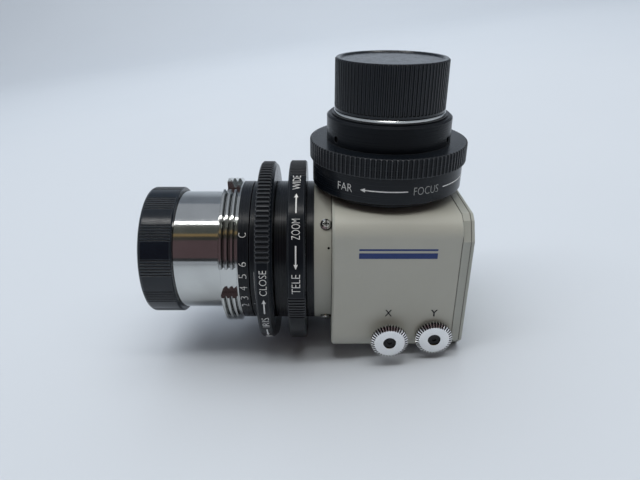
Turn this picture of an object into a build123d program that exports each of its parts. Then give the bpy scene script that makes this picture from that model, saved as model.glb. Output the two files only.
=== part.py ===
from build123d import *
from math import sin, cos, radians, degrees, sqrt, pi
import os

os.makedirs("parts", exist_ok=True)

# Right-angle video adapter. Millimetres, +Z up, viewer's side is -Y.
# X runs along the optical barrel. X = 0 is the shoulder where the chrome tube meets the thread ring.
# Angles called phi go round the barrel from the front (-Y) towards the top (+Z).

# ---- optical barrel, measured along X ----
CAP_END, CAP_RIM, CAP_R, CAP_BORE = -22.6, -13.1, 18.9, 17.72
TUBE_END, TUBE_R, TUBE_SEAT_R, TUBE_BORE = -20.0, 17.65, 17.2, 15.9
SHOULDER, THREAD_END, FLANGE_END = 0.0, 4.4, 5.3
THREAD_CREST_R, THREAD_ROOT_R, THREAD_PITCH = 21.67, 20.6, 1.55
SLOT_W, SLOT_FLOOR_R, SLOT_TURN = 9.0, 18.0, -0.7
BARREL_R, RING_SEAT_R, RING_BORE = 20.72, 18.7, 18.75
NUM_END, INDEX_X, IRIS_X, IRIS_END, IRIS_R = 8.3, 8.5, 10.55, 15.05, 26.64
MID_X, ZOOM_X, ZOOM_END, ZOOM_R = 15.1, 18.98, 23.82, 26.88
REAR_X, COLLAR_X, BOX_X = 23.85, 25.96, 30.9
INNER_BORE = 16.6

# ---- mirror box ----
BOX_END, BOX_Y, BOX_TOP, BOX_LOW, BOX_FILLET, WALL = 64.3, 24.0, 20.0, -20.7, 5.4, 2.5
MID_END, OUT_END = 66.5, 67.4
PORT_X = 46.6

# ---- camera port, measured along Z ----
BASE_R, BASE_TOP = 17.4, 22.4
FOCUS_Z, FOCUS_STEP, FOCUS_TOP = 22.5, 29.8, 34.93
FOCUS_TEXT_R, FOCUS_R, FOCUS_BORE = 20.94, 21.73, 17.1
CAM_R, CAM_LOW, CAM_TOP = 17.04, 24.0, 41.8
GUIDE_R, GUIDE_BORE, GUIDE_TOP = 15.3, 13.9, 33.0
C_THREAD_R, C_FLANGE_R, C_FLANGE_TOP, C_THREAD_TOP = 12.7, 15.1, 42.85, 46.85
CCAP_R, CCAP_LOW, CCAP_TOP, CCAP_BORE = 15.0, 42.95, 56.3, 13.6
LIP_R, LIP_TOP = 15.7, 42.15

# ---- iris and zoom group ----
BLADES, BLADE_PIVOT_R, BLADE_IN_R, BLADE_OUT_R, BLADE_SPAN = 8, 15.6, 9.0, 14.7, 125
BLADE_REST, BLADE_T, BLADE_STEP, BLADE_X0 = 4.93, 0.15, 0.25, 6.7
ZOOM_TURN, VAR_TRAVEL, COMP_TRAVEL = 45, 3.5, -2.0
VAR_X, COMP_X, CELL_LEN, CELL_R = 15.5, 26.0, 4.0, 14.15

# ---- knobs ----
KNOB_Z, KNOB_R, KNOB_T, KNOB_TEETH, STEM_R, BUSH_R = -15.0, 5.1, 2.1, 38, 1.5, 2.6
X_KNOB_X, X_KNOB_FACE = 46.7, -27.9
Y_KNOB_X, Y_KNOB_FACE = 59.15, -26.4

# ---- fold mirror: u runs up the mirror, t runs away behind its face ----
MIRROR_U, MIRROR_Y, MIRROR_T = 29.0, 26.0, 2.5
PIVOT_T = 4.25


def rev(points):
    """Sketch an (x, radius) outline and turn it about the barrel axis."""
    with BuildSketch(Plane.XY) as outline_sketch:
        with BuildLine():
            Polyline(*points, close=True)
        make_face()
    revolve(outline_sketch.sketch, axis=Axis.X)


def rev_z(points, x=PORT_X):
    """Sketch a (radius, z) outline and turn it about the vertical port axis."""
    with BuildSketch(Plane.XZ) as outline_sketch:
        with BuildLine():
            Polyline(*[(x + r, z) for r, z in points], close=True)
        make_face()
    revolve(outline_sketch.sketch, axis=Axis((x, 0, 0), (0, 0, 1)))


def ring(x0, x1, r_out, r_in, chamf=0.0):
    """Plain ring about the barrel axis, with optional outer chamfers."""
    c = chamf
    pts = [(x0, r_in), (x1, r_in), (x1, r_out - c), (x1 - c, r_out), (x0 + c, r_out), (x0, r_out - c)]
    if c == 0:
        pts = [(x0, r_in), (x1, r_in), (x1, r_out), (x0, r_out)]
    rev(pts)


def lens_face(x_edge, a, sag):
    """Spherical lens face of half-height a, from the rim at x_edge to the axis; sag is signed along X."""
    big = (a * a + sag * sag) / (2 * abs(sag))
    mid = abs(sag) - (big - sqrt(big * big - a * a / 4))
    mid = mid if sag > 0 else -mid
    return [(x_edge, a), (x_edge + mid, a / 2), (x_edge + sag, 0)]


def radial(x, phi):
    """Location on the barrel axis whose Z points outward at angle phi."""
    return Location((x, 0, 0), (90 - phi, 0, 0))


def done(bp, name):
    bp.part.label = name
    export_step(bp.part, "parts/" + name + ".step")


OUTWARD = (Align.CENTER, Align.CENTER, Align.MIN)

# ================= microscope coupling =================

# push-on dust cap: twelve groups of fine grooves between plain lands
with BuildPart() as front_dust_cap:
    rev([(CAP_END, 0), (CAP_END, CAP_R - 0.9), (CAP_END + 0.35, CAP_R - 0.3), (CAP_END + 1.0, CAP_R),
         (CAP_RIM - 0.4, CAP_R), (CAP_RIM, CAP_R - 0.4), (CAP_RIM, CAP_BORE), (CAP_END + 2.2, CAP_BORE),
         (CAP_END + 2.2, 0)])
    with BuildSketch(Plane.YZ.offset(CAP_END)):
        for k in range(12):
            with PolarLocations(CAP_R + 0.08, 6, start_angle=20 + 30 * k - 6.5, angular_range=13,
                                endpoint=True):
                Circle(0.3)
    extrude(amount=CAP_RIM - CAP_END, mode=Mode.SUBTRACT)
done(front_dust_cap, "front_dust_cap")

# chrome spigot: seat for the front lens inside, narrow groove where the cap's rim ends
with BuildPart() as coupling_tube:
    rev([(TUBE_END, TUBE_BORE), (TUBE_END, TUBE_R - 0.4), (TUBE_END + 0.4, TUBE_R),
         (CAP_RIM - 0.6, TUBE_R), (CAP_RIM - 0.6, TUBE_R - 0.3), (CAP_RIM + 0.05, TUBE_R - 0.3),
         (CAP_RIM + 0.05, TUBE_R), (SHOULDER, TUBE_R), (SHOULDER, TUBE_SEAT_R), (FLANGE_END, TUBE_SEAT_R),
         (FLANGE_END, 14.5), (-2.0, 14.5), (-2.0, TUBE_BORE)])
done(coupling_tube, "coupling_tube")

# interrupted thread: three crests cut by four keyways
with BuildPart() as thread_ring:
    outline = [(SHOULDER, TUBE_SEAT_R), (SHOULDER, THREAD_ROOT_R)]
    for k in range(3):
        crest = 0.75 + k * THREAD_PITCH
        outline += [(crest - 0.68, THREAD_ROOT_R), (crest - 0.28, THREAD_CREST_R),
                    (crest + 0.28, THREAD_CREST_R), (crest + 0.68, THREAD_ROOT_R)]
    outline += [(THREAD_END + 0.5, THREAD_ROOT_R), (THREAD_END + 0.6, BARREL_R), (FLANGE_END, BARREL_R),
                (FLANGE_END, TUBE_SEAT_R)]
    rev(outline)
    with BuildSketch(Plane.YZ.offset(SHOULDER)):
        with PolarLocations((SLOT_FLOOR_R + 24) / 2, 4, start_angle=-SLOT_TURN):
            Rectangle(24 - SLOT_FLOOR_R, SLOT_W)
    extrude(amount=THREAD_END + 0.45, mode=Mode.SUBTRACT)
done(thread_ring, "thread_ring")

# front lens and its slotted retainer
with BuildPart() as front_lens:
    with BuildSketch(Plane.XY):
        with BuildLine():
            Line((-2.0, 0), (-2.0, TUBE_BORE))
            Line((-2.0, TUBE_BORE), (-5.0, TUBE_BORE))
            ThreePointArc(*lens_face(-5.0, TUBE_BORE, -2.1))
            Line((-7.1, 0), (-2.0, 0))
        make_face()
    revolve(axis=Axis.X)
done(front_lens, "front_lens")

with BuildPart() as front_lens_retainer:
    rev([(-9.0, 14.6), (-9.0, TUBE_BORE), (-5.0, TUBE_BORE), (-6.0, 14.9), (-6.9, 14.6)])
    with Locations((-9.0, 0, 0)):
        Box(1.6, 40, 1.2, mode=Mode.SUBTRACT)
done(front_lens_retainer, "front_lens_retainer")

# ================= iris section =================

with BuildPart() as number_ring:
    ring(FLANGE_END, NUM_END, 20.7, RING_SEAT_R, 0.12)
done(number_ring, "number_ring")

# fixed barrel under the iris ring, with three slots for the drive pins
IRIS_OPEN, IRIS_CLOSED, PIN_R = 10, 59, 0.5
DRIVE_X = 9.2
with BuildPart() as front_barrel:
    rev([(FLANGE_END, 14.5), (FLANGE_END, RING_SEAT_R), (MID_X, RING_SEAT_R), (MID_X, 17.2), (6.0, 17.2),
         (6.0, 14.5)])
    for k in range(3):
        last = 100 + 120 * k + IRIS_CLOSED + 4
        arc = IRIS_OPEN + IRIS_CLOSED + 8
        d = Vector(0, -cos(radians(last)), sin(radians(last)))
        with BuildSketch(Plane(origin=(DRIVE_X, 0, 0), x_dir=(1, 0, 0), z_dir=(0, -d.Z, d.Y))):
            with Locations((0, 18)):
                Rectangle(1.2, 3)
        revolve(axis=Axis.X, revolution_arc=arc, mode=Mode.SUBTRACT)
done(front_barrel, "front_barrel")

# base plate with a pivot hole for every blade
with BuildPart() as iris_base_plate:
    ring(6.0, 6.6, 17.2, 9.6)
    with BuildSketch(Plane.YZ.offset(6.0)):
        with PolarLocations(BLADE_PIVOT_R, BLADES):
            Circle(0.45)
    extrude(amount=0.6, mode=Mode.SUBTRACT)
done(iris_base_plate, "iris_base_plate")

# crescent blades, one per layer, each swinging on its own pivot pin
for k in range(BLADES):
    layer = BLADE_X0 + BLADE_STEP * k
    base = 360.0 / BLADES * k
    pivot = (BLADE_PIVOT_R * cos(radians(base)), BLADE_PIVOT_R * sin(radians(base)))
    swing = Location((pivot[0], pivot[1], 0)) * Location((0, 0, 0), (0, 0, BLADE_REST))
    swing = swing * Location((-pivot[0], -pivot[1], 0))
    with BuildPart() as blade:
        with BuildSketch(Plane.YZ.offset(layer)):
            with BuildLine(swing):
                a0, a1 = base, base + BLADE_SPAN
                mid = (a0 + a1) / 2
                around = [(cos(radians(a)), sin(radians(a))) for a in (a0, mid, a1)]
                outer = [(BLADE_OUT_R * c, BLADE_OUT_R * s) for c, s in around]
                inner = [(BLADE_IN_R * c, BLADE_IN_R * s) for c, s in around]
                ThreePointArc(*outer)
                Line(outer[2], inner[2])
                ThreePointArc(*inner)
                Line(inner[0], outer[0])
            make_face()
        extrude(amount=BLADE_T)
        with BuildSketch(Plane.YZ.offset(layer)):
            with Locations(pivot):
                Circle(1.35)
        extrude(amount=BLADE_T)
        with BuildSketch(Plane.YZ.offset(6.0)):
            with Locations(pivot):
                Circle(0.4)
        extrude(amount=layer - 6.0)
    done(blade, "iris_blade_" + str(k))

with BuildPart() as iris_drive_plate:
    ring(8.9, 9.5, 17.1, 11.5)
    with BuildSketch(Plane.YZ.offset(8.9)):
        with PolarLocations(14.6, BLADES):
            SlotOverall(3.4, 0.9)
    extrude(amount=0.6, mode=Mode.SUBTRACT)
done(iris_drive_plate, "iris_drive_plate")

with BuildPart() as iris_drive_pins:
    for k in range(3):
        with Locations(radial(DRIVE_X, 100 + 120 * k)):
            with Locations((0, 0, 17.1)):
                Cylinder(PIN_R, 2.9, align=OUTWARD)
done(iris_drive_pins, "iris_drive_pins")

with BuildPart() as index_ring:
    ring(INDEX_X, IRIS_X, 20.7, RING_BORE, 0.12)
    for k in range(3):
        with Locations(radial(DRIVE_X, 100 + 120 * k)):
            Cylinder(PIN_R, 20.0, align=OUTWARD, mode=Mode.SUBTRACT)
done(index_ring, "index_ring")

# iris ring: 120 flutes, with a plain band on the front for its lettering
with BuildPart() as iris_ring:
    rev([(IRIS_X, RING_BORE), (IRIS_X, IRIS_R - 0.5), (IRIS_X + 0.5, IRIS_R), (IRIS_END - 1.0, IRIS_R),
         (IRIS_END, IRIS_R - 1.0), (IRIS_END, RING_BORE)])
    with BuildSketch(Plane.YZ.offset(IRIS_X)):
        with PolarLocations(IRIS_R + 0.04, 91, start_angle=-110, angular_range=270, endpoint=True):
            Circle(0.52)
    extrude(amount=IRIS_END - IRIS_X, mode=Mode.SUBTRACT)
done(iris_ring, "iris_ring")

# ================= zoom section =================

with BuildPart() as mid_barrel:
    rev([(MID_X, INNER_BORE), (MID_X, BARREL_R - 0.15), (MID_X + 0.15, BARREL_R), (ZOOM_X - 0.19, BARREL_R),
         (ZOOM_X - 0.04, BARREL_R - 0.15), (ZOOM_X - 0.04, RING_SEAT_R), (REAR_X, RING_SEAT_R),
         (REAR_X, INNER_BORE)])
    for k in range(3):
        last = 90 + 120 * k + ZOOM_TURN + 5
        d = Vector(0, -cos(radians(last)), sin(radians(last)))
        with BuildSketch(Plane(origin=(21.4, 0, 0), x_dir=(1, 0, 0), z_dir=(0, -d.Z, d.Y))):
            with Locations((0, 18)):
                Rectangle(1.5, 4)
        revolve(axis=Axis.X, revolution_arc=2 * ZOOM_TURN + 10, mode=Mode.SUBTRACT)
done(mid_barrel, "mid_barrel")

# zoom ring: fine ribs in two groups, with plain bands between them for its lettering
with BuildPart() as zoom_ring:
    ring(ZOOM_X, ZOOM_END, ZOOM_R, RING_BORE, 0.4)
    with BuildSketch(Plane.YZ.offset(ZOOM_X)):
        with PolarLocations(ZOOM_R + 0.03, 8, start_angle=183.5, angular_range=14, endpoint=True):
            Circle(0.4)
        with PolarLocations(ZOOM_R + 0.03, 112, start_angle=-118, angular_range=222, endpoint=True):
            Circle(0.4)
    extrude(amount=ZOOM_END - ZOOM_X, mode=Mode.SUBTRACT)
    for k in range(3):
        with Locations(radial(21.4, 90 + 120 * k)):
            Cylinder(0.6, 20.0, align=OUTWARD, mode=Mode.SUBTRACT)
done(zoom_ring, "zoom_ring")

with BuildPart() as zoom_drive_pins:
    for k in range(3):
        with Locations(radial(21.4, 90 + 120 * k)):
            with Locations((0, 0, 15.6)):
                Cylinder(0.6, 4.4, align=OUTWARD)
done(zoom_drive_pins, "zoom_drive_pins")

# cam sleeve: a helical slot for each lens cell's guide pin
with BuildPart() as cam_sleeve:
    ring(10.1, 30.6, 16.53, 15.35)
    for x_mid, travel, phi0 in ((VAR_X, VAR_TRAVEL, 30), (COMP_X, COMP_TRAVEL, 210)):
        path = [radial(x_mid + travel * s / 24, phi0 - (ZOOM_TURN + 2) * s / 24) for s in range(-24, 25)]
        with Locations(*path):
            Cylinder(0.68, 20.0, align=OUTWARD, mode=Mode.SUBTRACT)
    for k in range(3):
        with Locations(radial(21.4, 90 + 120 * k)):
            Cylinder(0.6, 20.0, align=OUTWARD, mode=Mode.SUBTRACT)
done(cam_sleeve, "cam_sleeve")

# fixed guide tube: straight slots keep the cells from turning
with BuildPart() as guide_tube:
    ring(9.9, 33.4, 15.28, 14.2)
    for x_mid, travel, phi in ((VAR_X, VAR_TRAVEL, 30), (COMP_X, COMP_TRAVEL, 210)):
        for end in (-1, 1):
            with Locations(radial(x_mid + end * abs(travel), phi)):
                Cylinder(0.68, 20.0, align=OUTWARD, mode=Mode.SUBTRACT)
        with Locations(radial(x_mid, phi)):
            Box(2 * abs(travel), 1.36, 20.0, align=OUTWARD, mode=Mode.SUBTRACT)
    ring(30.7, 33.4, 16.55, 15.28)
done(guide_tube, "guide_tube")

for name, x_mid, phi in (("variator", VAR_X, 30), ("compensator", COMP_X, 210)):
    with BuildPart() as cell:
        ring(x_mid - CELL_LEN / 2, x_mid + CELL_LEN / 2, CELL_R, 11.0)
        with Locations(radial(x_mid, phi)):
            with Locations((0, 0, 12.5)):
                Cylinder(0.6, 3.9, align=OUTWARD)
    done(cell, name + "_cell")

with BuildPart() as variator_lens:
    with BuildSketch(Plane.XY):
        with BuildLine():
            ThreePointArc(*lens_face(VAR_X - 1.5, 11, 0.9))
            Line((VAR_X - 0.6, 0), (VAR_X + 0.6, 0))
            ThreePointArc(*lens_face(VAR_X + 1.5, 11, -0.9))
            Line((VAR_X + 1.5, 11), (VAR_X - 1.5, 11))
        make_face()
    revolve(axis=Axis.X)
done(variator_lens, "variator_lens")

with BuildPart() as compensator_lens:
    with BuildSketch(Plane.XY):
        with BuildLine():
            ThreePointArc(*lens_face(COMP_X - 0.6, 11, -1.2))
            Line((COMP_X - 1.8, 0), (COMP_X + 1.8, 0))
            ThreePointArc(*lens_face(COMP_X + 0.6, 11, 1.2))
            Line((COMP_X + 0.6, 11), (COMP_X - 0.6, 11))
        make_face()
    revolve(axis=Axis.X)
done(compensator_lens, "compensator_lens")

# rear barrel with a tail that the collar and box clamp on
with BuildPart() as rear_barrel:
    rev([(REAR_X, INNER_BORE), (REAR_X, BARREL_R - 0.15), (REAR_X + 0.15, BARREL_R), (COLLAR_X, BARREL_R),
         (COLLAR_X, 18.0), (BOX_X + WALL, 18.0), (BOX_X + WALL, INNER_BORE)])
    for phi in (45, 135, 225, 315):
        with Locations(radial(29.3, phi)):
            Cylinder(0.85, 30.0, align=OUTWARD, mode=Mode.SUBTRACT)
done(rear_barrel, "rear_barrel")

# ================= mirror box =================

with BuildPart() as collar:
    ring(COLLAR_X, BOX_X, BARREL_R, 18.0, 0.12)
    for phi in (45, 135, 225, 315):
        with Locations(radial(29.3, phi)):
            Cylinder(0.85, 30.0, align=OUTWARD, mode=Mode.SUBTRACT)
            with Locations((0, 0, 20.5)):
                Cylinder(1.55, 3.0, align=OUTWARD, mode=Mode.SUBTRACT)
    with Locations(radial(30.0, 27)):
        Cylinder(0.35, 30.0, align=OUTWARD, mode=Mode.SUBTRACT)
done(collar, "collar")

# four pan-head cross-recess screws, pointing at the barrel axis
with BuildPart() as collar_screws:
    for phi in (45, 135, 225, 315):
        with Locations(radial(29.3, phi)):
            with Locations((0, 0, 16.9)):
                Cylinder(0.85, 4.0, align=OUTWARD)
            with Locations((0, 0, 20.5)):
                Cylinder(1.5, 0.75, align=OUTWARD)
            with Locations((0, 0, 21.25)):
                Cone(1.5, 0.95, 0.3, align=OUTWARD)
            with Locations((0, 0, 21.0)):
                Box(1.7, 0.32, 1.0, align=OUTWARD, mode=Mode.SUBTRACT)
                Box(0.32, 1.7, 1.0, align=OUTWARD, mode=Mode.SUBTRACT)
done(collar_screws, "collar_screws")

BOX_MID_Z = (BOX_TOP + BOX_LOW) / 2
SEAM = 0.18  # edge break on both sides of each seam between the box and its end plates
SCREW_Y, SCREW_TOP_Z, SCREW_LOW_Z, PAD_T = 18.0, 16.2, -17.2, 1.9
with BuildPart() as housing:
    with BuildSketch(Plane.YZ.offset(BOX_X)):
        with Locations((0, BOX_MID_Z)):
            RectangleRounded(2 * BOX_Y, BOX_TOP - BOX_LOW, BOX_FILLET)
    extrude(amount=BOX_END - BOX_X)
    chamfer(housing.faces().sort_by(Axis.X)[0].edges(), 0.5)
    chamfer(housing.faces().sort_by(Axis.X)[-1].edges(), SEAM)
    with BuildSketch(Plane.YZ.offset(BOX_X + WALL)):
        with Locations((0, BOX_MID_Z)):
            RectangleRounded(2 * (BOX_Y - WALL), BOX_TOP - BOX_LOW - 2 * WALL, BOX_FILLET - WALL)
    extrude(amount=BOX_END - BOX_X - WALL, mode=Mode.SUBTRACT)
    # pads that the end-plate screws bite into
    with BuildSketch(Plane.YZ.offset(BOX_END - PAD_T)):
        for y in (-SCREW_Y, SCREW_Y):
            for z in (SCREW_TOP_Z, SCREW_LOW_Z):
                with Locations((y, z)):
                    Circle(2.8)
    extrude(amount=PAD_T)
    with BuildSketch(Plane.YZ.offset(BOX_END - PAD_T)):
        for y in (-SCREW_Y, SCREW_Y):
            for z in (SCREW_TOP_Z, SCREW_LOW_Z):
                with Locations((y, z)):
                    Circle(1.0)
    extrude(amount=PAD_T, mode=Mode.SUBTRACT)
    # barrel hole, port hole and two knob bush holes
    with BuildSketch(Plane.YZ.offset(BOX_X)):
        Circle(18.0)
    extrude(amount=WALL, mode=Mode.SUBTRACT)
    with BuildSketch(Plane.XY.offset(BOX_TOP - WALL)):
        with Locations((PORT_X, 0)):
            Circle(GUIDE_R)
    extrude(amount=WALL, mode=Mode.SUBTRACT)
    for x in (X_KNOB_X, Y_KNOB_X):
        with Locations(Location((x, -BOX_Y, KNOB_Z), (-90, 0, 0))):
            Cylinder(BUSH_R, WALL + 2.2, align=OUTWARD, mode=Mode.SUBTRACT)
done(housing, "housing")


LOW_CUT = 4.05
TOP_CUTS = ((4.8, 0.0), (2.7, 1.3), (0.0, 6.1))  # (in from the side, down from the top), two flats


def plate_outline():
    """Box outline with flats in place of its rounded corners: one at each lower corner, two at each upper."""
    half = [(BOX_Y - LOW_CUT, BOX_LOW), (BOX_Y, BOX_LOW + LOW_CUT)]
    half += [(BOX_Y - inward, BOX_TOP - down) for inward, down in reversed(TOP_CUTS)]
    Polygon(*half, *[(-y, z) for y, z in reversed(half)], align=None)


for name, x0, x1, screw_r in (("mid_plate", BOX_END, MID_END, 1.05), ("outer_plate", MID_END, OUT_END, 1.95)):
    with BuildPart() as plate:
        with BuildSketch(Plane.YZ.offset(x0)):
            plate_outline()
        extrude(amount=x1 - x0)
        chamfer(plate.faces().sort_by(Axis.X)[0].edges(), SEAM)
        chamfer(plate.faces().sort_by(Axis.X)[-1].edges(), SEAM)
        with BuildSketch(Plane.YZ.offset(x0)):
            for y in (-SCREW_Y, SCREW_Y):
                for z in (SCREW_TOP_Z, SCREW_LOW_Z):
                    with Locations((y, z)):
                        Circle(screw_r)
        extrude(amount=x1 - x0, mode=Mode.SUBTRACT)
    done(plate, name)

with BuildPart() as cover_screws:
    for y in (-SCREW_Y, SCREW_Y):
        for z in (SCREW_TOP_Z, SCREW_LOW_Z):
            with Locations(Location((BOX_END - PAD_T, y, z), (0, 90, 0))):
                Cylinder(1.0, MID_END - BOX_END + PAD_T, align=OUTWARD)
            with Locations(Location((MID_END, y, z), (0, 90, 0))):
                Cylinder(1.85, 0.8, align=OUTWARD)
                Box(2.2, 0.4, 1.2, align=OUTWARD, mode=Mode.SUBTRACT)
                Box(0.4, 2.2, 1.2, align=OUTWARD, mode=Mode.SUBTRACT)
done(cover_screws, "cover_screws")

# ================= fold mirror on its two-way gimbal =================

# sketch plane on the mirror's face: x is u (up the mirror), y is Y, -z is t (behind the mirror)
FACE = Plane(origin=(PORT_X, 0, 0), x_dir=(1, 0, 1), z_dir=(-1, 0, 1))
PIVOT = (PORT_X + PIVOT_T / sqrt(2), 0, -PIVOT_T / sqrt(2))
ALONG_U = Plane(origin=PIVOT, x_dir=(0, 1, 0), z_dir=(1, 0, 1))
X_LEVER_U = (X_KNOB_X - PORT_X + KNOB_Z) / sqrt(2)
Y_LEVER_U = (Y_KNOB_X - PORT_X + KNOB_Z) / sqrt(2)

with BuildPart() as mirror:
    with BuildSketch(FACE.offset(-MIRROR_T)):
        Rectangle(MIRROR_U, MIRROR_Y)
    extrude(amount=MIRROR_T)
done(mirror, "mirror")

# mirror cell, with the post that the X screw pushes
with BuildPart() as mirror_cell:
    with BuildSketch(FACE.offset(-6.0)):
        Rectangle(30, 29)
    extrude(amount=3.5)
    with BuildSketch(FACE.offset(-12.5)):
        with Locations((X_LEVER_U, -4.5)):
            Rectangle(3, 3)
    extrude(amount=6.5)
    for start in (13.0, -15.0):
        with BuildSketch(ALONG_U.offset(start)):
            Circle(1.05)
        extrude(amount=2.0, mode=Mode.SUBTRACT)
done(mirror_cell, "mirror_cell")

# gimbal frame, with the arm that the Y screw's cone wedges upward
FRAME_U, FRAME_Y = 35.6, 37.6
with BuildPart() as gimbal_frame:
    with BuildSketch(FACE.offset(-5.8)):
        Rectangle(FRAME_U, FRAME_Y)
        Rectangle(31.2, 30.4, mode=Mode.SUBTRACT)
    extrude(amount=3.8)
    with BuildSketch(FACE.offset(-20.0)):
        with Locations((Y_LEVER_U + 1.6 + 1.55, -17.0)):
            Rectangle(3.1, 3.2)
    extrude(amount=14.5)
    for start in (15.0, -18.0):
        with BuildSketch(ALONG_U.offset(start)):
            Circle(1.0)
        extrude(amount=3.0, mode=Mode.SUBTRACT)
    for side in (-1, 1):
        with Locations(Location((PIVOT[0], side * 15.6, PIVOT[2]), (-90 * side, 0, 0))):
            Cylinder(1.2, 6.0, align=OUTWARD, mode=Mode.SUBTRACT)
done(gimbal_frame, "gimbal_frame")

with BuildPart() as gimbal_pins:
    for start in (13.2, -17.8):
        with BuildSketch(ALONG_U.offset(start)):
            Circle(1.0)
        extrude(amount=4.6)
    for side in (-1, 1):
        with Locations(Location((PIVOT[0], side * 15.6, PIVOT[2]), (-90 * side, 0, 0))):
            Cylinder(1.2, 5.8, align=OUTWARD)
done(gimbal_pins, "gimbal_pins")

with BuildPart() as gimbal_bearings:
    for side in (-1, 1):
        with Locations(Location((PIVOT[0], side * 19.3, PIVOT[2]), (-90 * side, 0, 0))):
            Cylinder(4.5, BOX_Y - WALL - 19.3, align=OUTWARD)
            Cylinder(1.25, BOX_Y - WALL - 19.3, align=OUTWARD, mode=Mode.SUBTRACT)
done(gimbal_bearings, "gimbal_bearings")

# ================= centring knobs =================


def turned_y(x, points):
    """Sketch a (radius, y) outline and turn it about a knob axis."""
    with BuildSketch(Plane.XY.offset(KNOB_Z)) as outline_sketch:
        with BuildLine():
            Polyline(*[(x + r, y) for r, y in points], close=True)
        make_face()
    revolve(outline_sketch.sketch, axis=Axis((x, 0, KNOB_Z), (0, 1, 0)))


for name, x, face, seat, bush_end in (("x", X_KNOB_X, X_KNOB_FACE, -8.1, -19.5),
                                      ("y", Y_KNOB_X, Y_KNOB_FACE, -19.7, -20.6)):
    back = face + KNOB_T
    with BuildPart() as knob:
        turned_y(x, [(STEM_R, back), (STEM_R, face + 1.1), (1.72, face + 1.1), (1.72, face),
                     (KNOB_R - 0.8, face), (KNOB_R, face + 0.55), (KNOB_R, back - 0.2), (KNOB_R - 0.35, back)])
        with BuildSketch(Plane.XZ.offset(-back)):
            with Locations((x, KNOB_Z)):
                with PolarLocations(KNOB_R, KNOB_TEETH):
                    Circle(0.37)
        extrude(amount=KNOB_T, mode=Mode.SUBTRACT)
    done(knob, name + "_knob")

    with BuildPart() as stem:
        turned_y(x, [(0, face + 1.1), (STEM_R, face + 1.1), (STEM_R, seat), (0.8, seat), (0.8, seat + 0.9),
                     (0, seat + 0.9)])
    done(stem, name + "_stem")

    with BuildPart() as knob_screw:
        turned_y(x, [(0, face + 0.75), (0.75, face + 0.75), (0.75, face + 0.4), (1.5, face + 0.4),
                     (1.72, face + 0.55), (1.72, face + 1.1), (0, face + 1.1)])
    done(knob_screw, name + "_knob_screw")

    with BuildPart() as bush:
        turned_y(x, [(STEM_R + 0.05, -BOX_Y), (BUSH_R, -BOX_Y), (BUSH_R, bush_end),
                     (STEM_R + 0.05, bush_end)])
    done(bush, name + "_bush")

# non-turning tips: a rounded pad for X, a wedge cone for Y
with BuildPart() as x_thrust_pad:
    turned_y(X_KNOB_X, [(0.85, -8.0), (2.2, -8.0), (2.2, -6.9), (0.8, -6.1), (0, -6.1), (0, -7.1),
                        (0.85, -7.1)])
done(x_thrust_pad, "x_thrust_pad")

with BuildPart() as y_thrust_cone:
    turned_y(Y_KNOB_X, [(0.85, -19.6), (2.4, -19.6), (2.4, -19.5), (0.3, -17.4), (0, -17.4), (0, -18.7),
                        (0.85, -18.7)])
done(y_thrust_cone, "y_thrust_cone")

# ================= camera port =================

FOCUS_TRAVEL = 1.3
KEY_Z = 27.0
with BuildPart() as port_base:
    rev_z([(GUIDE_BORE, BOX_TOP - 1.9), (GUIDE_R, BOX_TOP - 1.9), (GUIDE_R, BOX_TOP), (15.6, BOX_TOP),
           (15.6, 20.8), (BASE_R, 20.8), (BASE_R, BASE_TOP - 0.2), (BASE_R - 0.2, BASE_TOP),
           (GUIDE_R, BASE_TOP), (GUIDE_R, 31.5), (GUIDE_BORE, 31.5)])
    for end in (-1, 1):
        with Locations(Location((PORT_X, 0, KEY_Z + end * FOCUS_TRAVEL), (-90, 0, 0))):
            Cylinder(0.68, 20, align=OUTWARD, mode=Mode.SUBTRACT)
    with Locations(Location((PORT_X, 0, KEY_Z), (-90, 0, 0))):
        Box(1.36, 2 * FOCUS_TRAVEL, 20, align=OUTWARD, mode=Mode.SUBTRACT)
done(port_base, "port_base")

# focus ring: plain lettered band below, 102 grooves above
with BuildPart() as focus_ring:
    rev_z([(FOCUS_BORE, FOCUS_Z), (FOCUS_TEXT_R - 0.4, FOCUS_Z), (FOCUS_TEXT_R, FOCUS_Z + 0.4),
           (FOCUS_TEXT_R, FOCUS_STEP), (FOCUS_R - 0.2, FOCUS_STEP), (FOCUS_R, FOCUS_STEP + 0.2),
           (FOCUS_R, FOCUS_TOP - 0.2), (FOCUS_R - 0.2, FOCUS_TOP), (FOCUS_BORE, FOCUS_TOP)])
    with BuildSketch(Plane.XY.offset(FOCUS_STEP)):
        with Locations((PORT_X, 0)):
            with PolarLocations(FOCUS_R, 102):
                Circle(0.5)
    extrude(amount=FOCUS_TOP - FOCUS_STEP, mode=Mode.SUBTRACT)
done(focus_ring, "focus_ring")

SET_Z = 36.5


def round_port(turn):
    """Location on the port axis whose Z points outward, turned from the front about the vertical."""
    return Location((PORT_X, 0, SET_Z)) * Location((0, 0, 0), (0, 0, turn)) * Location((0, 0, 0), (90, 0, 0))


with BuildPart() as camera_barrel:
    rev_z([(GUIDE_R + 0.06, CAM_LOW), (CAM_R, CAM_LOW), (CAM_R, CAM_TOP - 0.5), (CAM_R - 0.6, CAM_TOP),
           (LIP_R, CAM_TOP), (LIP_R, LIP_TOP), (C_FLANGE_R + 0.02, LIP_TOP), (C_FLANGE_R + 0.02, CAM_TOP),
           (13.0, CAM_TOP), (13.0, 34.6), (GUIDE_R + 0.06, 34.6)])
    for turn in (60, 180, 300):
        with Locations(round_port(turn)):
            Cylinder(0.9, 20, align=OUTWARD, mode=Mode.SUBTRACT)
    with Locations(Location((PORT_X, 0, KEY_Z), (-90, 0, 0))):
        Cylinder(0.6, 20, align=OUTWARD, mode=Mode.SUBTRACT)
done(camera_barrel, "camera_barrel")

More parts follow.
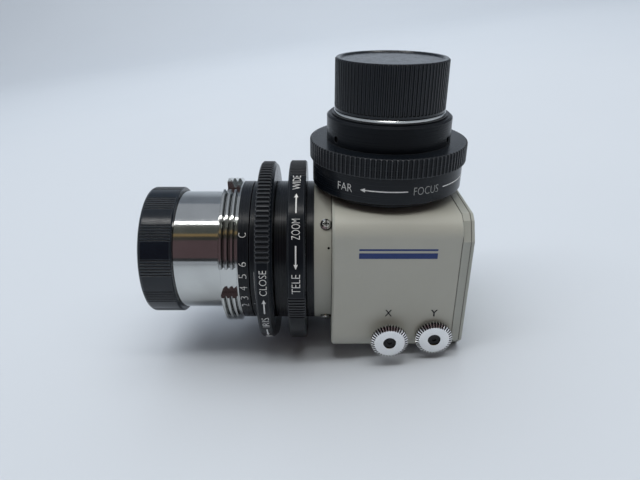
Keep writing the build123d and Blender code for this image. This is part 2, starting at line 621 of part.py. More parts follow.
with BuildPart() as barrel_set_screws:
    for turn in (60, 180, 300):
        with Locations(round_port(turn)):
            with Locations((0, 0, 13.1)):
                Cylinder(0.9, 3.4, align=OUTWARD)
            with Locations((0, 0, 15.6)):
                Cylinder(0.45, 2.0, align=OUTWARD, mode=Mode.SUBTRACT)
done(barrel_set_screws, "barrel_set_screws")

with BuildPart() as barrel_key_pin:
    with Locations(Location((PORT_X, 14.6, KEY_Z), (-90, 0, 0))):
        Cylinder(0.6, 2.2, align=OUTWARD)
done(barrel_key_pin, "barrel_key_pin")

# chrome C-mount: 1 inch thread, shown at its major radius
with BuildPart() as c_mount_ring:
    rev_z([(11, 35.0), (12.98, 35.0), (12.98, CAM_TOP), (C_FLANGE_R, CAM_TOP),
           (C_FLANGE_R, C_FLANGE_TOP - 0.2), (C_FLANGE_R - 0.2, C_FLANGE_TOP), (C_THREAD_R, C_FLANGE_TOP),
           (C_THREAD_R, C_FLANGE_TOP + 2.8), (C_THREAD_R - 0.3, C_FLANGE_TOP + 2.8),
           (C_THREAD_R - 0.3, C_FLANGE_TOP + 3.4), (C_THREAD_R, C_FLANGE_TOP + 3.4),
           (C_THREAD_R, C_THREAD_TOP - 0.3), (C_THREAD_R - 0.3, C_THREAD_TOP), (11, C_THREAD_TOP), (11, 37.5),
           (10.2, 37.5), (10.2, 36.5), (11, 36.5)])
done(c_mount_ring, "c_mount_ring")

with BuildPart() as rear_lens:
    with BuildSketch(Plane.XZ):
        with BuildLine():
            Line((PORT_X, 37.5), (PORT_X + 11, 37.5))
            Line((PORT_X + 11, 37.5), (PORT_X + 11, 39.3))
            ThreePointArc(*[(PORT_X + a, z) for z, a in lens_face(39.3, 11, 1.6)])
            Line((PORT_X, 40.9), (PORT_X, 37.5))
        make_face()
    revolve(axis=Axis((PORT_X, 0, 0), (0, 0, 1)))
done(rear_lens, "rear_lens")

# port dust cap: fine straight knurl, sunk disc on top, gripping rib inside
with BuildPart() as c_mount_cap:
    rev_z([(CCAP_BORE, CCAP_LOW), (CCAP_R - 0.2, CCAP_LOW), (CCAP_R, CCAP_LOW + 0.2),
           (CCAP_R, CCAP_TOP - 0.4), (CCAP_R - 0.4, CCAP_TOP), (CCAP_R - 1.3, CCAP_TOP),
           (CCAP_R - 1.6, CCAP_TOP - 0.4),
           (0, CCAP_TOP - 0.4), (0, CCAP_TOP - 2.4), (CCAP_BORE - 0.2, CCAP_TOP - 2.4),
           (CCAP_BORE - 0.2, C_THREAD_TOP + 0.2), (C_THREAD_R + 0.06, C_THREAD_TOP + 0.2),
           (C_THREAD_R + 0.06, C_FLANGE_TOP + 3.05), (CCAP_BORE, C_FLANGE_TOP + 3.05)])
    with BuildSketch(Plane.XY.offset(CCAP_LOW + 0.8)):
        with Locations((PORT_X, 0)):
            with PolarLocations(CCAP_R, 84):
                Circle(0.42)
    extrude(amount=CCAP_TOP - CCAP_LOW - 0.8, mode=Mode.SUBTRACT)
done(c_mount_cap, "c_mount_cap")
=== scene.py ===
import bpy
import bmesh
from math import sin, cos, radians, pi
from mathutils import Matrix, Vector


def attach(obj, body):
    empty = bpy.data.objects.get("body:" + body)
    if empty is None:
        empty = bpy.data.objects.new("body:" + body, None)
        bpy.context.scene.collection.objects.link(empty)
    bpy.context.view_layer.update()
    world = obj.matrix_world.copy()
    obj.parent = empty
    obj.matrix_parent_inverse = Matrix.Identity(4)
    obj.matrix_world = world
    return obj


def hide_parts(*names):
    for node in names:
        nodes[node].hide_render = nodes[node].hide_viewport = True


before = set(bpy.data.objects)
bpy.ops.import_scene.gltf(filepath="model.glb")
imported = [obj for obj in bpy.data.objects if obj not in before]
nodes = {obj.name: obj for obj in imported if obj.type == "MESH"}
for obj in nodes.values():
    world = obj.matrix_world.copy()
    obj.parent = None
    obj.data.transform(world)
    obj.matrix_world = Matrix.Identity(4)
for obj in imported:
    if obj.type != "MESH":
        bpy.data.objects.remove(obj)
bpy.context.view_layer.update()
MM = 0.001

# Places and sizes on the object, in mm. The barrel lies along X and the camera port along Z.
PORT_X = 46.6
FRONT_Y = -24.0
NUM_R, IRIS_R, ZOOM_R, BAND_R = 20.70, 26.64, 26.88, 20.94
NUM_X, INDEX_X, IRIS_X, ZOOM_X = 6.6, 9.7, 12.7, 21.36
BAND_Z = 26.35
KNOB_Z = -15.0
KNOBS = {"x": (46.7, -27.9), "y": (59.15, -26.4)}        # axis X and face Y of each knob

# ---------------------------------------------------------------- node-tree helpers

AO_SAMPLES = 8
EDGE_REACH = 0.0003                    # metres


class Mat:
    """Small wrapper that adds nodes to one procedural material."""

    def __init__(self, name):
        self.m = bpy.data.materials.new(name)
        self.m.use_nodes = True
        self.t = self.m.node_tree
        self.t.nodes.clear()
        self.out = self.add("ShaderNodeOutputMaterial")
        self.b = self.add("ShaderNodeBsdfPrincipled")
        self.link(self.b.outputs["BSDF"], self.out.inputs["Surface"])
        self.co = self.add("ShaderNodeTexCoord").outputs["Object"]

    def add(self, kind, **props):
        n = self.t.nodes.new(kind)
        for k, v in props.items():
            setattr(n, k, v)
        return n

    def link(self, a, b):
        self.t.links.new(a, b)

    def put(self, socket, value):
        self.b.inputs[socket].default_value = value

    def scaled(self, sx, sy, sz):
        n = self.add("ShaderNodeMapping")
        n.inputs["Scale"].default_value = (sx, sy, sz)
        self.link(self.co, n.inputs["Vector"])
        return n.outputs["Vector"]

    def noise(self, scale, detail, vec=None):
        n = self.add("ShaderNodeTexNoise")
        n.inputs["Scale"].default_value = scale
        n.inputs["Detail"].default_value = detail
        self.link(vec or self.co, n.inputs["Vector"])
        return n.outputs["Fac"]

    def ramp(self, fac, stops):
        """Run a factor through two colour stops."""
        n = self.add("ShaderNodeValToRGB")
        e = n.color_ramp.elements
        for i, (pos, col) in enumerate(stops):
            e[i].position = pos
            e[i].color = (*col, 1)
        self.link(fac, n.inputs["Fac"])
        return n.outputs["Color"]

    def span(self, fac, lo, hi, a=0.3, b=0.7):
        """Map a..b of a factor to lo..hi; noise stays mostly between 0.3 and 0.7."""
        n = self.add("ShaderNodeMapRange")
        n.inputs["From Min"].default_value = a
        n.inputs["From Max"].default_value = b
        n.inputs["To Min"].default_value = lo
        n.inputs["To Max"].default_value = hi
        self.link(fac, n.inputs["Value"])
        return n.outputs["Result"]

    def bump(self, height, strength, dist, after=None):
        n = self.add("ShaderNodeBump")
        n.inputs["Strength"].default_value = strength
        n.inputs["Distance"].default_value = dist
        self.link(height, n.inputs["Height"])
        if after is not None:
            self.link(after, n.inputs["Normal"])
        self.link(n.outputs["Normal"], self.b.inputs["Normal"])
        return n.outputs["Normal"]

    def mix(self, fac, a, b):
        """Blend from a to b, each a colour or a socket."""
        n = self.add("ShaderNodeMix", data_type="RGBA")
        self.link(fac, n.inputs["Factor"])
        for sock, v in ((n.inputs["A"], a), (n.inputs["B"], b)):
            if isinstance(v, tuple):
                sock.default_value = (*v, 1)
            else:
                self.link(v, sock)
        return n.outputs["Result"]

    def edges(self):
        """1 on an outer edge, 0 further than EDGE_REACH from one."""
        n = self.add("ShaderNodeAmbientOcclusion", samples=AO_SAMPLES, inside=True, only_local=True)
        n.inputs["Distance"].default_value = EDGE_REACH
        return self.span(n.outputs["AO"], 1.0, 0.0, 0.55, 0.95)

    def hollow_shade(self, reach, lo=0.35, hi=0.85):
        """0 deep in a groove or seam narrower than reach, 1 on open surface: the mask for painted shade."""
        n = self.add("ShaderNodeAmbientOcclusion", samples=AO_SAMPLES)
        n.inputs["Distance"].default_value = reach
        return self.span(n.outputs["AO"], 0.0, 1.0, lo, hi)

    def color(self, socket):
        self.link(socket, self.b.inputs["Base Color"])

    def rough(self, socket):
        self.link(socket, self.b.inputs["Roughness"])


# ---------------------------------------------------------------- materials

GRAIN_ALONG, GRAIN_ROUND = 9000, 40    # noise per metre along a turned part's axis and across it
GROOVE, SEAM = 0.0006, 0.0004          # widths of grooves and seams that get painted shade, in metres


def turned(m, axis):
    """Vector stretched so noise reads as turning marks round that axis."""
    return m.scaled(*(GRAIN_ALONG if axis == k else GRAIN_ROUND for k in "xyz"))


def shade(value, green, blue):
    """Grey of that value, with its green and blue raised by those factors."""
    return (value, value * green, value * blue)


def anodised(name, axis, dark, light, rough, gloss, rub_and_glint):
    """Black anodised metal turned round an axis; its last argument is the tone of its outer edges, partly
    wear and partly painted highlight.
    """
    m = Mat(name)
    cloud = m.noise(90, 4)
    grain = m.noise(1.0, 2, turned(m, axis))
    col = m.ramp(cloud, [(0.3, shade(dark, 1.35, 1.90)), (0.75, shade(light, 1.30, 1.75))])
    # outer edges lightened: partly wear, partly painted highlight on ribs and teeth
    marked = m.mix(m.edges(), col, shade(rub_and_glint, 1.07, 1.16))
    # painted shade: grooves and seams darkened
    m.color(m.mix(m.hollow_shade(GROOVE), (0.0015, 0.0018, 0.0022), marked))
    m.rough(m.span(grain, rough - 0.02, rough + 0.03))
    m.put("Specular IOR Level", gloss)
    n = m.bump(grain, 0.03, 0.00002)
    m.bump(m.noise(5200, 2), 0.07, 0.00003, n)
    return m.m


def plastic(name, rub_and_glint):
    """Moulded black plastic; its last argument is the tone of its outer edges, partly wear and partly painted
    highlight.
    """
    m = Mat(name)
    cloud = m.noise(160, 4)
    col = m.ramp(cloud, [(0.3, (0.002, 0.0050, 0.0095)), (0.8, (0.005, 0.0095, 0.0160))])
    # outer edges lightened: partly wear, partly painted highlight on ribs and rim teeth
    marked = m.mix(m.edges(), col, shade(rub_and_glint, 1.12, 1.24))
    # painted shade: grooves darkened
    m.color(m.mix(m.hollow_shade(GROOVE), (0.0012, 0.0015, 0.002), marked))
    m.rough(m.span(m.noise(600, 3), 0.17, 0.26))
    m.put("Specular IOR Level", 0.44)
    n = m.bump(m.noise(4200, 3), 0.10, 0.00004)
    m.bump(m.noise(700, 2), 0.05, 0.0001, n)
    return m.m


def chrome(name, axis):
    """Plated metal turned round an axis, with faint smears."""
    m = Mat(name)
    smear = m.noise(120, 4)
    grain = m.noise(1.0, 2, turned(m, axis))
    plate = m.ramp(smear, [(0.3, (0.50, 0.51, 0.50)), (0.7, (0.56, 0.57, 0.56))])
    # painted shade: seams and thread roots darkened
    m.color(m.mix(m.hollow_shade(SEAM, 0.3, 0.8), (0.10, 0.095, 0.09), plate))
    m.put("Metallic", 1.0)
    m.rough(m.span(smear, 0.07, 0.13))
    n = m.bump(grain, 0.10, 0.00002)
    m.bump(m.noise(1.0, 2, m.scaled(300, 2600, 2600)), 0.02, 0.00003, n)
    return m.m


def paint(name, tone):
    """Sprayed paint with a fine orange peel, small specks and painted shade in its seams."""
    m = Mat(name)
    r, g, b = tone
    cloud = m.noise(60, 5)
    speck = m.noise(5200, 2)
    col = m.ramp(cloud, [(0.3, (r * 0.965, g * 0.965, b * 0.955)), (0.7, tone)])
    marked = m.mix(m.span(speck, 0.0, 0.35, 0.66, 0.74), col, (r * 0.78, g * 0.78, b * 0.76))
    # painted shade: seams between housing and plates darkened
    m.color(m.mix(m.hollow_shade(SEAM, 0.45, 0.85), (0.035, 0.033, 0.03), marked))
    m.rough(m.span(m.noise(900, 3), 0.40, 0.52))
    m.put("Specular IOR Level", 0.45)
    m.put("Coat Weight", 0.08)
    m.put("Coat Roughness", 0.3)
    n = m.bump(m.noise(3000, 2), 0.16, 0.00007)
    m.bump(m.noise(850, 2), 0.08, 0.00016, n)
    return m.m


def machined(name, centre=None):
    """Bright machined metal; with a centre, its faces show turning rings about an axis along Y."""
    m = Mat(name)
    bright = m.ramp(m.noise(300, 4), [(0.3, (0.80, 0.81, 0.82)), (0.7, (0.90, 0.90, 0.90))])
    # painted shade: recesses such as screw crosses and knurl grooves darkened
    m.color(m.mix(m.hollow_shade(GROOVE, 0.55, 0.97), (0.03, 0.028, 0.026), bright))
    m.put("Metallic", 1.0)
    m.rough(m.span(m.noise(1500, 3), 0.12, 0.22))
    if centre:
        shift = m.add("ShaderNodeVectorMath", operation="SUBTRACT")
        shift.inputs[1].default_value = (centre[0], 0, centre[1])
        m.link(m.co, shift.inputs[0])
        flat = m.add("ShaderNodeVectorMath", operation="MULTIPLY")
        flat.inputs[1].default_value = (1, 0, 1)
        m.link(shift.outputs[0], flat.inputs[0])
        far = m.add("ShaderNodeVectorMath", operation="LENGTH")
        m.link(flat.outputs[0], far.inputs[0])
        comb = m.add("ShaderNodeCombineXYZ")
        m.link(far.outputs["Value"], comb.inputs["X"])
        m.bump(m.noise(5200, 2, comb.outputs[0]), 0.12, 0.00003)
    else:
        m.bump(m.noise(2500, 3), 0.10, 0.00003)
    return m.m


def tinted(name, a, b, rough, metallic, scale=400, bump=0.15):
    """Cloudy mix of two tones, with matching noise in its roughness and bump."""
    m = Mat(name)
    m.color(m.ramp(m.noise(scale, 4), [(0.3, a), (0.7, b)]))
    m.put("Metallic", metallic)
    m.rough(m.span(m.noise(scale * 4, 3), rough - 0.05, rough + 0.07))
    m.bump(m.noise(scale * 9, 2), bump, 0.00005)
    return m.m


def glass(name):
    """Lens glass with a faint violet coating."""
    m = Mat(name)
    m.color(m.ramp(m.noise(60, 2), [(0.3, (0.80, 0.88, 0.90)), (0.7, (0.86, 0.90, 0.96))]))
    m.put("Transmission Weight", 0.92)
    m.put("IOR", 1.52)
    m.put("Coat Weight", 0.6)
    m.put("Coat Tint", (0.72, 0.62, 0.95, 1))
    m.rough(m.span(m.noise(900, 2), 0.015, 0.04))
    return m.m


def lettering(name, col):
    """Paint filled into engraving: slightly uneven and chalky."""
    m = Mat(name)
    m.color(m.ramp(m.noise(2600, 3), [(0.25, tuple(c * 0.80 for c in col)), (0.6, col)]))
    m.rough(m.span(m.noise(3000, 2), 0.45, 0.6))
    m.bump(m.noise(9000, 2), 0.2, 0.00003)
    return m.m


def dress(mat, *names):
    for n in names:
        o = nodes[n]
        o.data.materials.clear()
        o.data.materials.append(mat)


barrel_black = anodised("barrel_anodised", "x", 0.0045, 0.0090, 0.27, 0.28, 0.05)
ring_black = anodised("ring_anodised", "x", 0.0045, 0.0085, 0.22, 0.21, 0.10)
port_black = anodised("port_anodised", "z", 0.0045, 0.0085, 0.25, 0.24, 0.065)
tube_black = anodised("tube_anodised", "z", 0.0035, 0.0070, 0.28, 0.12, 0.04)
front_cap_black = plastic("front_cap_plastic", 0.085)
port_cap_black = plastic("port_cap_plastic", 0.012)
dress(barrel_black, "number_ring", "index_ring", "front_barrel", "mid_barrel", "rear_barrel")
dress(ring_black, "iris_ring", "zoom_ring")
dress(port_black, "port_base", "focus_ring")
dress(tube_black, "camera_barrel")
dress(front_cap_black, "front_dust_cap")
dress(port_cap_black, "c_mount_cap")
dress(chrome("spigot_chrome", "x"), "coupling_tube", "thread_ring")
dress(chrome("port_chrome", "z"), "c_mount_ring")
dress(paint("housing_paint", (0.455, 0.455, 0.400)), "housing", "collar")
dress(paint("plate_paint", (0.395, 0.405, 0.362)), "mid_plate", "outer_plate")
knob_metal = {k: machined(k + "_knob_metal", (x * MM, KNOB_Z * MM)) for k, (x, _) in KNOBS.items()}
for k in KNOBS:
    dress(knob_metal[k], k + "_knob")
dress(machined("screw_steel"), "collar_screws", "cover_screws", "iris_drive_pins", "zoom_drive_pins",
      "gimbal_pins", "x_stem", "y_stem", "barrel_key_pin", "x_thrust_pad", "y_thrust_cone")
dress(tinted("black_screw", (0.012, 0.012, 0.013), (0.03, 0.03, 0.032), 0.4, 0.6), "x_knob_screw",
      "y_knob_screw", "barrel_set_screws")
dress(tinted("turned_brass", (0.55, 0.38, 0.16), (0.68, 0.50, 0.24), 0.3, 1.0), "x_bush", "y_bush",
      "gimbal_bearings")
dress(tinted("inner_black", (0.006, 0.006, 0.006), (0.014, 0.014, 0.014), 0.55, 0.2),
      "front_lens_retainer", "guide_tube", "cam_sleeve", "variator_cell", "compensator_cell",
      "iris_base_plate", "iris_drive_plate", "mirror_cell", "gimbal_frame")
dress(tinted("blade_steel", (0.02, 0.02, 0.022), (0.04, 0.04, 0.043), 0.35, 0.8, 250),
      *["iris_blade_%d" % k for k in range(8)])
dress(glass("coated_glass"), "front_lens", "variator_lens", "compensator_lens", "rear_lens")
dress(tinted("silvered", (0.88, 0.88, 0.90), (0.93, 0.93, 0.94), 0.08, 1.0, 200, 0.02), "mirror")


def crisp(o):
    """Smooth shading that stays sharp at edges over 28 degrees."""
    for p in o.data.polygons:
        p.use_smooth = True
    mod = o.modifiers.new("crisp", "EDGE_SPLIT")
    mod.split_angle = radians(28)


for o in nodes.values():
    crisp(o)


def mesh_object(name, bm, *materials):
    """Object of that name from a bmesh, linked to the scene."""
    me = bpy.data.meshes.new(name)
    bm.to_mesh(me)
    bm.free()
    for mat in materials:
        me.materials.append(mat)
    o = bpy.data.objects.new(name, me)
    bpy.context.collection.objects.link(o)
    return o


# ---------------------------------------------------------------- knob heads with a cut knurl

KNOB_R, KNOB_T, KNOB_TEETH = 5.1, 2.1, 38
KNOB_CUT = (0.0, 0.0, 0.36, 0.72, 0.36, 0.0)             # groove depth at the steps across one tooth
KNOB_FACE_R, KNOB_BEVEL_R, KNOB_BEVEL_T = 3.95, 4.12, 0.62
STEM_R, RECESS_R, RECESS_T = 1.5, 1.72, 1.1


def knob_head(key):
    """Turned head whose V grooves run up over its front bevel, on the knob's own axis."""
    x0, face = KNOBS[key]
    back = face + KNOB_T
    bm = bmesh.new()
    rows = []
    count = KNOB_TEETH * len(KNOB_CUT)
    for i in range(count):
        a = 2 * pi * (i + 0.5) / count
        cut = KNOB_CUT[i % len(KNOB_CUT)]
        rim = KNOB_R - cut
        line = [(STEM_R, back), (STEM_R, face + RECESS_T), (RECESS_R, face + RECESS_T),
                (RECESS_R, face + 0.06), (RECESS_R + 0.06, face), (KNOB_FACE_R, face),
                (KNOB_BEVEL_R, face + 0.05 + cut * 0.12), (rim, face + KNOB_BEVEL_T + cut * 0.25),
                (rim, back - 0.25), (rim - 0.25, back)]
        rows.append([bm.verts.new(Vector((x0 + r * cos(a), y, KNOB_Z + r * sin(a))) * MM) for r, y in line])
    for i in range(count):
        a, b = rows[i], rows[(i + 1) % count]
        for j in range(len(a)):
            k = (j + 1) % len(a)
            bm.faces.new((a[j], b[j], b[k], a[k]))
    bmesh.ops.recalc_face_normals(bm, faces=bm.faces)
    o = mesh_object(key + "_knob_head", bm, knob_metal[key])
    crisp(o)
    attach(o, key + "_knob")
    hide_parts(key + "_knob")


knob_head("x")
knob_head("y")

# ---------------------------------------------------------------- lettering and marks

LIFT, DEEP = 0.03, 0.05                # how far a mark stands proud of its surface and is let into it
MARK_STEP = 0.8                        # longest edge of a mark before it is bent
THIN, BOLD = -0.016, 0.016             # change of stroke width, as a share of the letter size

white = lettering("engraving_white", (0.80, 0.80, 0.78))
ink = lettering("print_black", (0.008, 0.008, 0.01))
grey = lettering("engraving_grey", (0.42, 0.43, 0.42))
blue = lettering("print_blue", (0.010, 0.035, 0.17))


def wrap_barrel(r, x0, phi0):
    """Map (s, h, w) on to the barrel: s runs up round it from phi0, h towards -X, w outward."""
    def f(s, h, w):
        a = radians(phi0) + s / r
        return Vector((x0 - h, -(r + w) * cos(a), (r + w) * sin(a))) * MM
    return f


def wrap_port(r, z0, turn0):
    """Map (s, h, w) on to the port: s runs to the right round it from turn0, h up, w outward."""
    def f(s, h, w):
        a = radians(turn0) + s / r
        return Vector((PORT_X + (r + w) * sin(a), -(r + w) * cos(a), z0 + h)) * MM
    return f


def on_face(x0, z0):
    """Map (s, h, w) on to the box's front: s to the right, h up, w outward."""
    def f(s, h, w):
        return Vector((x0 + s, FRONT_Y - w, z0 + h)) * MM
    return f


def solid_from(name, bm2d, wrap, mat, body):
    """Turn flat faces into a thin closed piece wrapped on a surface."""
    bmesh.ops.remove_doubles(bm2d, verts=bm2d.verts, dist=1e-4)
    while long := [e for e in bm2d.edges if e.calc_length() > MARK_STEP]:
        bmesh.ops.subdivide_edges(bm2d, edges=long, cuts=1, use_grid_fill=False)
    bmesh.ops.triangulate(bm2d, faces=bm2d.faces)
    for f in bm2d.faces:
        if f.normal.z < 0:
            f.normal_flip()
    ext = bmesh.ops.extrude_face_region(bm2d, geom=list(bm2d.faces), use_keep_orig=True)
    for v in ext["geom"]:
        if isinstance(v, bmesh.types.BMVert):
            v.co.z = 1.0
    for v in bm2d.verts:
        s, h, lifted = v.co
        v.co = wrap(s, h, LIFT if lifted > 0.5 else -DEEP)
    bmesh.ops.recalc_face_normals(bm2d, faces=bm2d.faces)
    o = mesh_object(name, bm2d, mat)
    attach(o, body)


def words(text, height, width, weight=THIN):
    """Flat faces of a word, centred, scaled to that height and total width in mm."""
    cu = bpy.data.curves.new("w", "FONT")
    cu.body = text
    cu.align_x = "LEFT"
    cu.resolution_u = 3
    cu.offset = weight
    cu.fill_mode = "FRONT"
    ob = bpy.data.objects.new("w", cu)
    bpy.context.collection.objects.link(ob)
    bpy.context.view_layer.update()
    me = bpy.data.meshes.new_from_object(ob.evaluated_get(bpy.context.evaluated_depsgraph_get()))
    bpy.data.objects.remove(ob)
    bm = bmesh.new()
    bm.from_mesh(me)
    bpy.data.meshes.remove(me)
    xs = [v.co.x for v in bm.verts]
    ys = [v.co.y for v in bm.verts]
    cx, cy = (min(xs) + max(xs)) / 2, (min(ys) + max(ys)) / 2
    kx, ky = width / (max(xs) - min(xs)), height / (max(ys) - min(ys))
    for v in bm.verts:
        v.co = Vector(((v.co.x - cx) * kx, (v.co.y - cy) * ky, 0))
    return bm


def poly(*outlines):
    bm = bmesh.new()
    for pts in outlines:
        bm.faces.new([bm.verts.new((x, y, 0)) for x, y in pts])
    return bm


def strip(s0, s1, h0, h1, n=1):
    """Flat bar from s0 to s1 in n lengths."""
    bm = bmesh.new()
    for i in range(n):
        a, b = s0 + (s1 - s0) * i / n, s0 + (s1 - s0) * (i + 1) / n
        bm.faces.new([bm.verts.new(p) for p in ((a, h0, 0), (b, h0, 0), (b, h1, 0), (a, h1, 0))])
    return bm


ARROW_HEAD_W, ARROW_HEAD_L = 1.1, 1.3


def arrow(length, forward, line=0.36):
    """Arrow centred on the origin that points to +s when forward; line is its shaft's width."""
    a, b, w = -length / 2, length / 2 - ARROW_HEAD_L, line / 2
    bm = poly([(a, -w), (b, -w), (b, w), (a, w)],
              [(b, -ARROW_HEAD_W / 2), (length / 2, 0), (b, ARROW_HEAD_W / 2)])
    if not forward:
        for v in bm.verts:
            v.co.x = -v.co.x
    return bm


def arc_mm(r, a0, a1):
    return radians(abs(a1 - a0)) * r


def ring_word(name, text, r, x0, phi0, phi1, height, body):
    wrap = wrap_barrel(r, x0, (phi0 + phi1) / 2)
    solid_from(name, words(text, height, arc_mm(r, phi0, phi1)), wrap, white, body)


def ring_arrow(name, r, x0, phi0, phi1, up, body):
    wrap = wrap_barrel(r, x0, (phi0 + phi1) / 2)
    solid_from(name, arrow(arc_mm(r, phi0, phi1), up), wrap, white, body)


IRIS_H, ZOOM_H, FOCUS_H, LABEL_H = 1.95, 2.2, 2.05, 2.1        # letter heights
ring_word("iris_close", "CLOSE", IRIS_R, IRIS_X, -1.2, 14.2, IRIS_H, "iris_ring")
ring_arrow("iris_arrow_close", IRIS_R, IRIS_X, -14.9, -4.0, True, "iris_ring")
ring_word("iris_word", "IRIS", IRIS_R, IRIS_X, -28.6, -18.5, IRIS_H, "iris_ring")
ring_arrow("iris_arrow_open", IRIS_R, IRIS_X, -43.0, -32.0, False, "iris_ring")
ring_word("iris_open", "OPEN", IRIS_R, IRIS_X, -58.5, -46.0, IRIS_H, "iris_ring")
ring_word("zoom_wide", "WIDE", ZOOM_R, ZOOM_X, 62.8, 75.0, ZOOM_H, "zoom_ring")
ring_arrow("zoom_arrow_wide", ZOOM_R, ZOOM_X, 46.9, 59.8, True, "zoom_ring")
ring_word("zoom_word", "ZOOM", ZOOM_R, ZOOM_X, 31.5, 43.4, ZOOM_H, "zoom_ring")
ring_arrow("zoom_arrow_tele", ZOOM_R, ZOOM_X, 14.9, 28.2, False, "zoom_ring")
ring_word("zoom_tele", "TELE", ZOOM_R, ZOOM_X, 0.4, 12.0, ZOOM_H, "zoom_ring")

for label, phi in (("C", 36.7), ("6", 14.7), ("5", 5.2), ("4", -5.3), ("3", -15.0), ("2", -23.8)):
    solid_from("scale_" + label, words(label, LABEL_H, 1.3), wrap_barrel(NUM_R, NUM_X, phi), white, "housing")

INDEX_FROM, INDEX_TO, INDEX_HALF = -22, 9, 0.08          # degrees, degrees, mm
on_index = wrap_barrel(NUM_R, INDEX_X, INDEX_FROM)
index_len = arc_mm(NUM_R, INDEX_FROM, INDEX_TO)
solid_from("index_line", strip(0, index_len, -INDEX_HALF, INDEX_HALF, 24), on_index, grey, "iris_ring")
solid_from("index_tick", strip(-INDEX_HALF, INDEX_HALF, 0, 0.7), on_index, grey, "iris_ring")

for name, text, t0, t1, mat in (("focus_far", "FAR", -42.9, -30.9, white),
                                ("focus_word", "FOCUS", 13.1, 32.9, grey),
                                ("focus_near", "NEAR", 76.0, 92.0, white)):
    wrap = wrap_port(BAND_R, BAND_Z, (t0 + t1) / 2)
    solid_from(name, words(text, FOCUS_H, arc_mm(BAND_R, t0, t1)), wrap, mat, "focus_ring")
for name, t0, t1, right in (("focus_arrow_far", -24.7, 8.8, False), ("focus_arrow_near", 37.5, 70.0, True)):
    wrap = wrap_port(BAND_R, BAND_Z, (t0 + t1) / 2)
    solid_from(name, arrow(arc_mm(BAND_R, t0, t1), right, 0.28), wrap, white, "focus_ring")

LABEL_Z = -7.7
for label, x in (("X", 46.4), ("Y", 58.9)):
    letter = words(label, LABEL_H, 1.9, BOLD)
    solid_from("label_" + label.lower(), letter, on_face(x, LABEL_Z), ink, "housing")

BAR_HALF = 10.2
on_mark = on_face(48.0, 10.6)
solid_from("mark_bar", strip(-BAR_HALF, BAR_HALF, -1.5, 0.1, 12), on_mark, blue, "housing")
solid_from("mark_line", strip(-BAR_HALF, BAR_HALF, 0.8, 1.3, 12), on_mark, blue, "housing")

# ---------------------------------------------------------------- stage


def stage_mat(name, a, b):
    """Matt white between two tones."""
    m = Mat(name)
    m.color(m.ramp(m.noise(3, 2), [(0.3, a), (0.7, b)]))
    m.rough(m.span(m.noise(20, 2), 0.67, 0.73))
    m.put("Specular IOR Level", 0.2)
    return m.m


# The object rests on the zoom ring's lowest point and the box's lower right edge, so the table
# slopes a little in the object's own frame.
RING_LOW, BOX_LOW = (21.4, -26.95), (67.0, -20.7)        # X and Z of the two points, in mm
slope = (BOX_LOW[1] - RING_LOW[1]) / (BOX_LOW[0] - RING_LOW[0])

# The table in metres: it runs back, curves up and goes on as a wall.
TABLE_HALF_X, TABLE_HALF_Y, CURVE_R, WALL_TOP = 1.8, 0.9, 0.5, 2.2


def table_z(x):
    return (RING_LOW[1] + slope * (x - RING_LOW[0])) * MM


profile = [(-TABLE_HALF_Y, 0.0), (TABLE_HALF_Y, 0.0)]
profile += [(TABLE_HALF_Y + CURVE_R * sin(radians(a)), CURVE_R - CURVE_R * cos(radians(a)))
            for a in range(10, 91, 10)]
profile += [(TABLE_HALF_Y + CURVE_R, WALL_TOP)]
bm = bmesh.new()
rows = []
for x in (-TABLE_HALF_X, TABLE_HALF_X):
    rows.append([bm.verts.new((x, y, z + table_z(x / MM))) for y, z in profile])
for i in range(len(profile) - 1):
    bm.faces.new((rows[0][i], rows[1][i], rows[1][i + 1], rows[0][i + 1]))
for f in bm.faces:
    f.smooth = True
table = mesh_object("table", bm, stage_mat("table_white", (0.595, 0.636, 0.685), (0.61, 0.65, 0.697)))

scene = bpy.context.scene
world = bpy.data.worlds.new("room")
scene.world = world
world.use_nodes = True
bg = world.node_tree.nodes["Background"]
bg.inputs["Color"].default_value = (0.84, 0.90, 1.0, 1)
bg.inputs["Strength"].default_value = 0.50
scene.view_settings.view_transform = "Standard"

WALL_DIST, WALL_HALF, WALL_STEP = 1.5, 2.5, 6            # metres, metres, degrees
WALL_BANDS = ((2, 8, (0.04, 0.042, 0.046)), (8, 42, (0.105, 0.072, 0.078)), (42, 49.5, (0.05, 0.05, 0.045)),
              (49.5, 54.5, (0.27, 0.19, 0.09)), (54.5, 73, (0.085, 0.09, 0.08)))


def wall_mat(name, col):
    """Dull surface that glows evenly in that colour."""
    m = Mat(name)
    dim, lit = (tuple(c * k for c in col) for k in (0.10, 0.2))
    m.color(m.ramp(m.noise(2.0, 3), [(0.3, dim), (0.7, lit)]))
    m.put("Roughness", 1.0)
    m.put("Specular IOR Level", 0.0)
    m.put("Emission Color", (*col, 1))
    m.put("Emission Strength", 1.0)
    return m.m


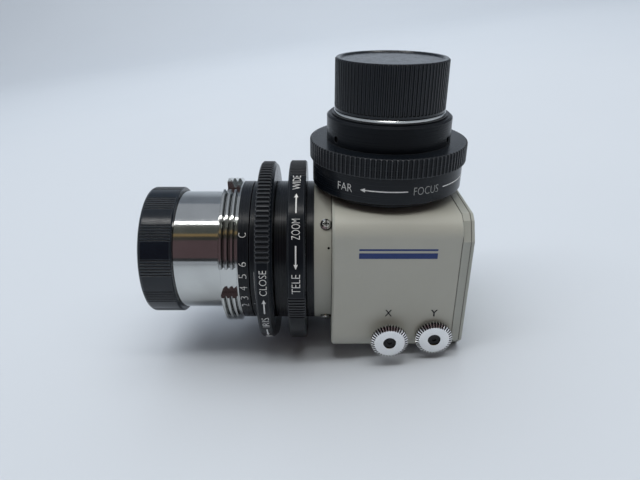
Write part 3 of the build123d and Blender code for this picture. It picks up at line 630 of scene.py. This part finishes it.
def room_wall():
    """The room in front of the object, seen only in reflections: bands by degrees above the table."""
    bm = bmesh.new()
    mats = []
    for i, (lo, hi, col) in enumerate(WALL_BANDS):
        mats.append(wall_mat("wall_band_%d" % i, col))
        steps = max(1, int((hi - lo) / WALL_STEP))
        for k in range(steps):
            e0, e1 = radians(lo + (hi - lo) * k / steps), radians(lo + (hi - lo) * (k + 1) / steps)
            corners = ((-WALL_HALF, e0), (WALL_HALF, e0), (WALL_HALF, e1), (-WALL_HALF, e1))
            vs = [bm.verts.new((x, -WALL_DIST * cos(e), WALL_DIST * sin(e))) for x, e in corners]
            bm.faces.new(vs).material_index = i
    o = mesh_object("room_wall", bm, *mats)
    o.visible_camera = False
    o.visible_shadow = False


def area(name, loc, target, size, power, col, mirrored):
    """Area light at loc that faces target; only a mirrored one shows in reflections."""
    li = bpy.data.lights.new(name, "AREA")
    li.shape = "RECTANGLE"
    li.size, li.size_y = size
    li.energy = power
    li.color = col
    o = bpy.data.objects.new(name, li)
    o.location = loc
    o.rotation_euler = (Vector(target) - Vector(loc)).to_track_quat("-Z", "Y").to_euler()
    o.visible_glossy = mirrored
    bpy.context.collection.objects.link(o)


room_wall()
area("overhead", (-0.32, 0.34, 0.95), (0.0, 0.10, 0), (1.6, 0.8), 5.4, (0.95, 0.98, 1.0), False)
area("front_fill", (0.12, -0.04, 0.90), (0.05, 0, 0), (0.7, 0.4), 2.2, (1.0, 0.99, 0.96), False)
area("strip", (0.0, -0.26, 0.97), (0.03, 0, 0), (1.8, 0.05), 3.6, (1.0, 0.99, 0.97), True)
area("back_window", (-0.30, 0.75, 0.75), (-0.30, 1.0, 0.0), (2.4, 0.5), 3.8, (0.93, 0.97, 1.0), False)

SENSOR_MM, FOCAL_PX, IMAGE_PX = 36.0, 531.5, 640
EYE, PITCH = (27.65, -146.15, 74.0), 25.95               # mm, and degrees below level
cam = bpy.data.cameras.new("view")
cam.sensor_width = SENSOR_MM
cam.lens = FOCAL_PX / IMAGE_PX * SENSOR_MM
cam.clip_start = 0.005
cam.clip_end = 20
eye = bpy.data.objects.new("view", cam)
eye.location = [c * MM for c in EYE]
eye.rotation_euler = (radians(90 - PITCH), 0, 0)
bpy.context.collection.objects.link(eye)
scene.camera = eye
